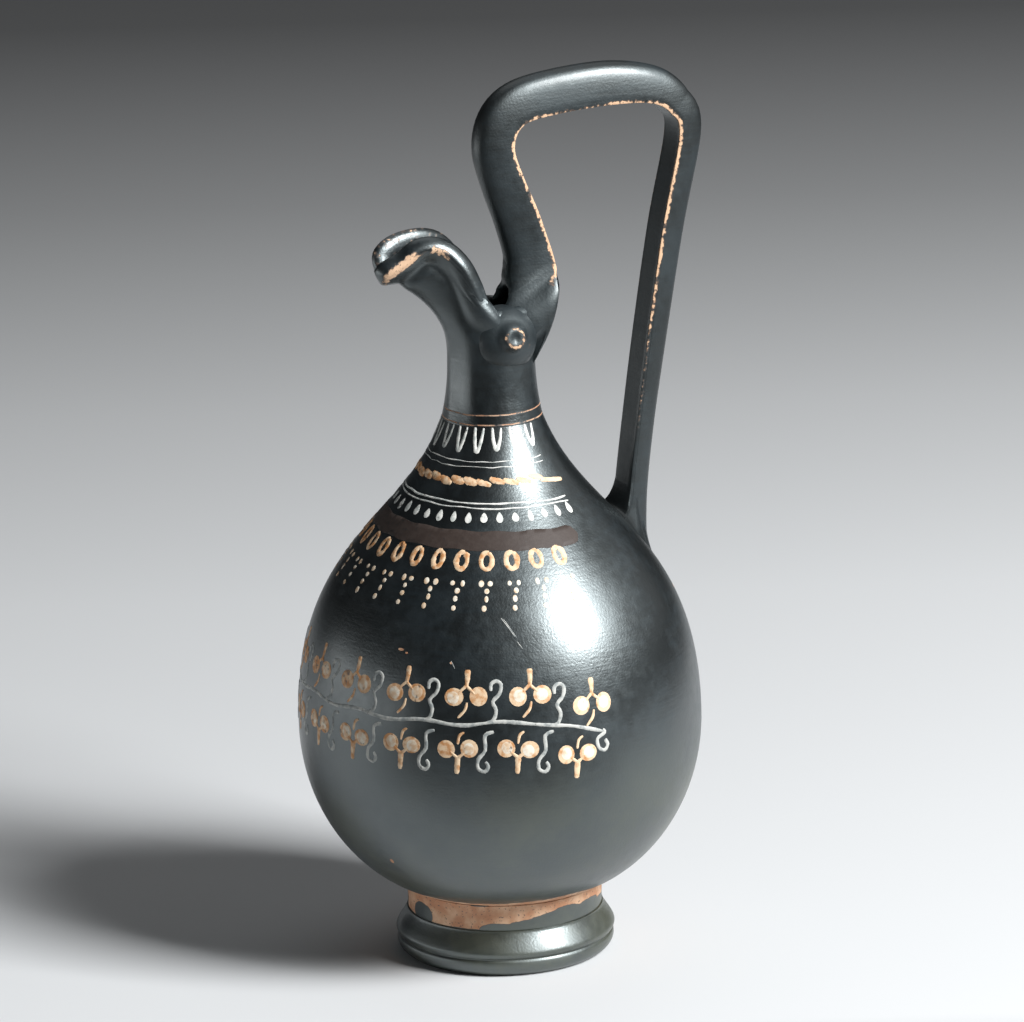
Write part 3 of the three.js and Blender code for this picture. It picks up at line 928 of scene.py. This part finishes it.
# Eggs: a row of upright rings under the band, painted in orange slip with one turn of the brush and
# left open in the middle, with a cluster of five dots below each.
egg_turns = 11.05
eggs = []
clusters = []
for i in range(-8, 9):
    turn = 5.6 + egg_turns * i
    wide = 2.25 * hand.uniform(0.9, 1.1)
    path = []
    for step in range(13):
        bend = math.tau * step / 12 + 1.2
        path.append((turn + wide * math.cos(bend), 105.1 + 1.65 * math.sin(bend)))
    eggs.append(stroke(path, [1.4 * hand.uniform(0.8, 1.2) for _ in path], steps=2))
    for across, height in ((-2, 100.6), (1.9, 100.6), (0.3, 99.1), (0, 97.5), (-0.7, 95.6)):
        clusters.append(dab(turn + across + hand.uniform(-0.3, 0.3), height,
                            1.15 * hand.uniform(0.8, 1.2), 1.45 * hand.uniform(0.8, 1.2)))
gather("paint_eggs", eggs, orange_slip)
gather("paint_dots", clusters, cream_slip)


# Vine: a wavy grey stem round the belly. Pairs of berries hang above and below it on forked stalks,
# with a curled tendril between each two pairs and a short comma that joins each pair to the stem.
# A few fine scratches cross the gloss above it.
vine_end = 95
vine_line = 70.2


def droop(turn):
    """How far the vine sinks towards its ends."""
    return -4.2 * fade_between(abs(turn), 72, 98)


def vine_level(turn):
    return vine_line + droop(turn)


def vine_height(turn):
    """The wavy stem itself."""
    return vine_level(turn) + 0.1 + 0.45 * math.sin(math.radians(turn * 16 + 130))


stem_path = [(turn, vine_height(turn)) for turn in range(-vine_end, vine_end + 1, 5)]
stem = [stroke(stem_path, [1.05 * hand.uniform(0.75, 1.2) for _ in stem_path])]
for side in (-1, 1):
    curl = [(0, 66.4), (0.6, 65.6), (-1.8, 64.4), (-1.4, 62.2), (0.3, 61.4), (1.4, 62.6), (0.6, 64)]
    stem.append(stroke([(side * (vine_end + turn), height) for turn, height in curl], 0.95))
scratches = [stroke([(66.2, 93.6), (68.4, 91.7), (70.5, 89.6)], 0.2, thick=0.03),
             stroke([(67, 93.4), (69, 91.5), (71, 89.4)], 0.16, thick=0.03),
             stroke([(71, 88.6), (72.6, 87)], 0.16, thick=0.03),
             stroke([(50.4, 84.4), (51.6, 82.8)], 0.14, thick=0.03)]
gather("scratches", scratches, grey_slip)
gather("paint_stem", stem, grey_slip)

tendril_above = [(-1.6, 7.7), (-1.5, 9.2), (0, 9.9), (1.4, 9.1), (0.9, 7), (-1.1, 5.2), (-0.2, 3.2),
                 (-1, 1), (-3, 0.3)]
tendril_below = [(1.6, -1.8), (-0.9, -2.7), (-0.9, -6.2), (-2.9, -8.4), (-3, -10.6), (-1.2, -11.4),
                 (-0.2, -10.2), (-0.9, -9)]
above_pitch = 18.6
below_pitch = 17
tendrils = []
stalks = []
berries = []
cores = []


def placed(path, turn):
    """A path given from the vine's own line, set at a turn."""
    return [(turn + t, vine_level(turn) + h) for t, h in path]


def berry(turn, height, size):
    lump = hand.uniform(0.92, 1.08)
    berries.append(dab(turn, height, 2 * size * lump, 2 * size / lump))
    if hand.random() < 0.8:
        cores.append(dab(turn + hand.uniform(-0.5, 0.5), height + hand.uniform(-0.3, 0.3),
                         1.25 * size * lump, 1.35 * size, rise=0.5))


for i in range(-5, 6):
    turn = above_pitch * i + 8.3
    if abs(turn) < 90:
        tendrils.append(stroke(placed(tendril_above, turn), 1.0, steps=3))
    turn = below_pitch * i + 10.5
    if abs(turn) < 84:
        tendrils.append(stroke(placed(tendril_below, turn), 1.0, steps=3))

for i in range(-5, 6):
    turn = above_pitch * i - 0.5
    if abs(turn) < 96:
        stalks.append(stroke(placed([(0.3, 12.4), (0.3, 10.4), (0, 8.6)], turn), [1.5, 1.3, 0.9]))
        for side in (-1, 1):
            fork = [(0, 8.8), (1.4 * side, 7.8), (2.4 * side, 7)]
            stalks.append(stroke(placed(fork, turn), [0.9, 0.8, 0.7]))
            berry(turn + 3.6 * side, vine_level(turn) + 6.3 + hand.uniform(-0.3, 0.3), 2.2)
        stalks.append(stroke(placed([(0.2, 5), (-0.4, 3.2), (-2.4, 1.4)], turn), [0.6, 0.8, 0.7]))
    turn = below_pitch * i + 1.8
    if abs(turn) < 90:
        stalks.append(stroke(placed([(-0.4, -12), (-0.2, -10), (0, -7.8)], turn), [1.2, 1.5, 1.6]))
        for side in (-1, 1):
            fork = [(0, -8.2), (1.3 * side, -7.3), (2.2 * side, -6.6)]
            stalks.append(stroke(placed(fork, turn), [1.1, 0.8, 0.7]))
            berry(turn + 3.3 * side, vine_level(turn) - 6.1 + hand.uniform(-0.3, 0.3), 2.15)
        stalks.append(stroke(placed([(1.9, -2), (0.6, -2.8), (0, -4.8)], turn), [0.6, 0.8, 0.7]))
gather("paint_tendrils", tendrils, grey_slip)
gather("paint_stalks", stalks, orange_slip)
gather("paint_berries", berries, orange_slip)
gather("paint_berry_cores", cores, cream_slip)
bpy.data.objects.remove(first_touch)  # all dabs are copies of it


# Table: a pale sweep of paper, painted darker behind the jug, in front of it and far to the right,
# as painted shade for the fall of the light.
paper_turn = math.radians(245)
paper_falloff_tones = [
    # metres behind the jug, seen from the camera, and how pale the paper is painted there as painted
    # shade
    (-0.6, 0.025), (-0.3, 0.04), (-0.14, 0.26), (-0.06, 0.67), (0.1, 0.66), (0.3, 0.63), (0.5, 0.515),
    (0.76, 0.3), (1.04, 0.125), (1.6, 0.082),
]
bpy.ops.object.select_all(action="DESELECT")
bpy.ops.mesh.primitive_plane_add(size=8)
table = bpy.context.object
table.name = "table"
paper, paper_shader, paper_place = paint_tree("paper")
away = paper_place.feed("VectorMath", {"operation": "DOT_PRODUCT"},
                        {0: paper_place, 1: (math.sin(paper_turn), -math.cos(paper_turn), 0)}, 1)
tone = paper_falloff_tones[0][1]
for (near_by, near_tone), (far_off, far_tone) in zip(paper_falloff_tones, paper_falloff_tones[1:]):
    step = away.feed("MapRange", {}, {"Value": away, "From Min": near_by, "From Max": far_off,
                                      "To Max": far_tone - near_tone})
    tone = tone + step
beside = paper_place.feed("VectorMath", {"operation": "DOT_PRODUCT"},
                          {0: paper_place, 1: (-math.cos(paper_turn), -math.sin(paper_turn), 0)}, 1)
# Painted shade: the paper is darkened far to the right of the camera's view.
tone = tone * (1 - 0.85 * fade(beside, 0.22, 0.5))
colour = tone.feed("CombineColor", {}, {0: 0.975 * tone, 1: tone, 2: 1.02 * tone})
plug(paper_shader, Base_Color=colour, Roughness=0.9, Specular_IOR_Level=0.1)
table.data.materials.append(paper)


# Light: a small soft box high on the right, a long low card on the left for the soft gleam on the
# belly, a dim wall behind the soft box and a dim ceiling, which lighten the shadow. The room is dark.
def aim(kind, turn, rise, distance, height):
    """Where a lamp or camera stands that looks at the axis at a height, and how it is turned."""
    turn, rise = math.radians(turn), math.radians(rise)
    back = Vector((math.sin(turn) * math.cos(rise), -math.cos(turn) * math.cos(rise),
                   math.sin(rise)))
    thing = bpy.data.objects.new(kind.name, kind)
    bpy.context.scene.collection.objects.link(thing)
    thing.location = Vector((0, axis, height)) + back * distance
    thing.rotation_euler = back.to_track_quat("Z", "Y").to_euler()
    return thing


def soft_box(name, turn, rise, distance, width, height, radiance):
    lamp = bpy.data.lights.new(name, "AREA")
    lamp.shape = "RECTANGLE"
    lamp.size = width
    lamp.size_y = height
    lamp.energy = radiance * math.pi * width * height
    aim(lamp, turn, rise, distance, 0.09)


soft_box("key", 123.5, 36.5, 1.6, 0.56, 0.66, 45)
soft_box("card", -20, -4, 0.7, 0.85, 0.2, 1.7)
soft_box("side", 178, 22, 1.4, 1.2, 0.9, 0.25)
soft_box("ceiling", 245, 62, 1.8, 1.6, 1.6, 0.55)

room = bpy.data.worlds.new("room")
room.use_nodes = True
room.node_tree.nodes["Background"].inputs["Color"].default_value = (0.012, 0.013, 0.014, 1)
bpy.context.scene.world = room
bpy.context.scene.view_settings.view_transform = "Standard"


# Camera: a long lens, a little above the jug and turned to its right side.
lens = bpy.data.cameras.new("camera")
lens.sensor_width = 36
lens.lens = 36 * 8400 / 1024
camera = aim(lens, 65, 15.76, 2.0, 0.1086)
camera.rotation_euler.rotate_axis("Z", math.radians(-1.513))
lens.shift_x = 17.33 / 1024
bpy.context.scene.camera = camera
